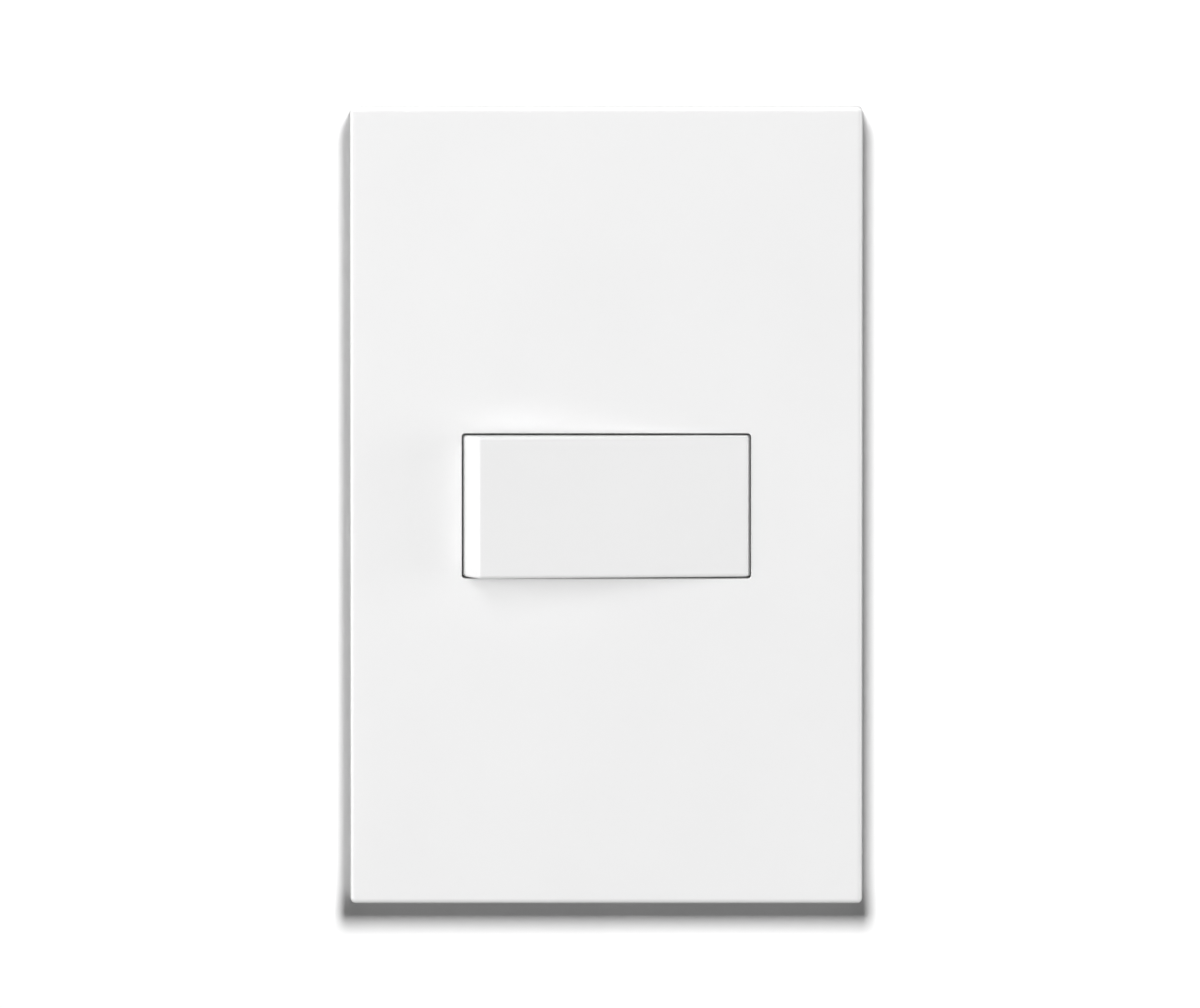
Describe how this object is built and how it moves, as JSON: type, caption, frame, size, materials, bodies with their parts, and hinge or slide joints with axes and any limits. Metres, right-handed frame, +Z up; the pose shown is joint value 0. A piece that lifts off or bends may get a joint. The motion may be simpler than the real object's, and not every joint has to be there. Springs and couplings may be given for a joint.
{
  "type": "rocker wall switch",
  "caption": "Upright wall plate with one sideways rocker key, on a screwed support frame that holds a switch module with pillar terminals.",
  "frame": {"origin": "centre of the cover plate, on the wall surface that its rim rests on", "axes": "+Z up the plate's long side, +Y into the wall box, -Y out towards the user, +X to the user's right"},
  "size_m": [0.0758, 0.0378, 0.118],
  "materials": {
    "gloss_white_abs": "gloss moulded white",
    "matt_white_polyamide": "fine matt moulded off-white",
    "grey_polyamide": "matt moulded light grey",
    "natural_polyamide": "satin natural",
    "natural_acetal": "smooth natural",
    "spring_steel": "drawn wire",
    "contact_copper": "stamped copper alloy",
    "contact_silver": "silver alloy contact",
    "strip_brass": "stamped brass",
    "terminal_brass": "machined brass",
    "zinc_plated_steel": "bright zinc plated"
  },
  "bodies": {
    "switch_body": {"wall_plate": "gloss_white_abs", "support_frame": "matt_white_polyamide", "box_screw_upper": "zinc_plated_steel", "box_screw_lower": "zinc_plated_steel", "module_frame": "matt_white_polyamide", "housing_base": "grey_polyamide", "common_contact_strip": "strip_brass", "switched_contact_strip": "strip_brass", "common_strip_rivet": "strip_brass", "switched_strip_rivet": "strip_brass", "fixed_contact": "contact_silver", "common_terminal_block": "terminal_brass", "switched_terminal_block": "terminal_brass"},
    "rocker": {"rocker_cap": "gloss_white_abs", "rocker_carrier": "natural_polyamide", "plunger_spring": "spring_steel"},
    "plunger_pin": {"plunger": "natural_acetal"},
    "seesaw_lever": {"contact_lever": "contact_copper", "moving_contact": "contact_silver"},
    "common_clamp_screw": {"common_terminal_screw": "zinc_plated_steel"},
    "switched_clamp_screw": {"switched_terminal_screw": "zinc_plated_steel"}
  },
  "joints": [
    {"name": "rocker_rock", "type": "hinge", "parent": "switch_body", "child": "rocker", "pos_m": [0, -0.0025, 0], "axis": [0, 0, -1], "range_deg": [0, 13.4]},
    {"name": "plunger_slide", "type": "slide", "parent": "rocker", "child": "plunger_pin", "axis": [0.1167, -0.9932, 0], "range_m": [0, 0.001], "stiffness_N_per_m": 300, "springref_m": -0.003, "deforming": ["plunger_spring"]},
    {"name": "lever_tilt", "type": "hinge", "parent": "switch_body", "child": "seesaw_lever", "pos_m": [0, 0.011, 0], "axis": [0, 0, 1], "range_deg": [0, 16.1]},
    {"name": "common_screw_travel", "type": "slide", "parent": "switch_body", "child": "common_clamp_screw", "axis": [0, 0, 1], "range_m": [0, 0.0025]},
    {"name": "switched_screw_travel", "type": "slide", "parent": "switch_body", "child": "switched_clamp_screw", "axis": [0, 0, 1], "range_m": [0, 0.0025]}
  ],
  "couplings": [
    {"joint": "lever_tilt", "follows": "rocker_rock", "ratio": 1.2}
  ]
}
